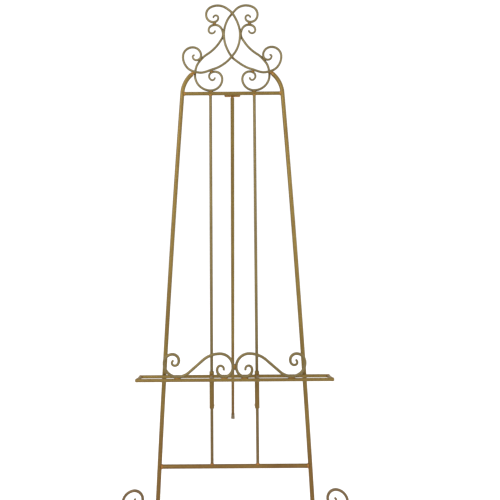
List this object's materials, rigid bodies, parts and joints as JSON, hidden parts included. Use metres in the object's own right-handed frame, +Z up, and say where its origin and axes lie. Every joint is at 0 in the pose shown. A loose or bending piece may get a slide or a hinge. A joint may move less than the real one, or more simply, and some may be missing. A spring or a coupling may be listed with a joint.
{
  "type": "display easel",
  "caption": "Floor-standing scrollwork easel of bent tube and rod, with a sliding shelf clamped by thumb screws and a hinged rear leg",
  "frame": {"origin": "on the floor, at the centre of the bounding box, midway between the front feet and the rear foot", "axes": "+Z up; the front of the easel faces -Y; X runs across it, with the mirror plane at X = 0"},
  "size_m": [0.7248, 0.7286, 1.6591],
  "materials": {
    "gold_paint": "antique gold paint, semi-matt, darker in the corners",
    "rubber_cap": "matt bronze brown, close to the paint",
    "steel_pin": "dull, lightly tarnished",
    "brass_screw": "dull antique brass"
  },
  "bodies": {
    "front_frame": {"leg_tube_left": "gold_paint", "leg_tube_right": "gold_paint", "top_crossbar": "gold_paint", "low_crossbar": "gold_paint", "guide_rod_left": "gold_paint", "guide_rod_right": "gold_paint", "crest_tall_scroll_left": "gold_paint", "crest_tall_scroll_right": "gold_paint", "crest_s_scroll_left": "gold_paint", "crest_s_scroll_right": "gold_paint", "foot_scroll_left": "gold_paint", "foot_scroll_right": "gold_paint", "foot_cap_left": "rubber_cap", "foot_cap_right": "rubber_cap", "hinge_leaf": "gold_paint", "hinge_pin": "steel_pin"},
    "shelf": {"shelf_front_rail": "gold_paint", "shelf_back_rail": "gold_paint", "shelf_end_left": "gold_paint", "shelf_end_right": "gold_paint", "shelf_strut_left": "gold_paint", "shelf_strut_right": "gold_paint", "sleeve_left": "gold_paint", "sleeve_right": "gold_paint", "weld_nut_left": "gold_paint", "weld_nut_right": "gold_paint", "lip_scroll_left": "gold_paint", "lip_scroll_right": "gold_paint"},
    "rear_leg": {"rear_leg_tube": "gold_paint", "rear_leg_eye": "gold_paint", "foot_cap_rear": "rubber_cap"},
    "thumb_screw_left": {"thumb_screw_left": "brass_screw"},
    "thumb_screw_right": {"thumb_screw_right": "brass_screw"}
  },
  "joints": [
    {"name": "shelf_slide", "type": "slide", "parent": "front_frame", "child": "shelf", "axis": [0, 0.225, 0.9744], "range_m": [-0.17, 0.9]},
    {"name": "rear_leg_hinge", "type": "hinge", "parent": "front_frame", "child": "rear_leg", "pos_m": [0, -0.0304, 1.35344], "axis": [-1, 0, 0], "range_deg": [0, 28]},
    {"name": "thumb_screw_left_turn", "type": "hinge", "parent": "shelf", "child": "thumb_screw_left", "pos_m": [-0.073, -0.25946, 0.35591], "axis": [0, 0.9744, -0.225], "range_deg": [0, 360]},
    {"name": "thumb_screw_right_turn", "type": "hinge", "parent": "shelf", "child": "thumb_screw_right", "pos_m": [0.073, -0.25946, 0.35591], "axis": [0, 0.9744, -0.225], "range_deg": [0, 360]}
  ]
}
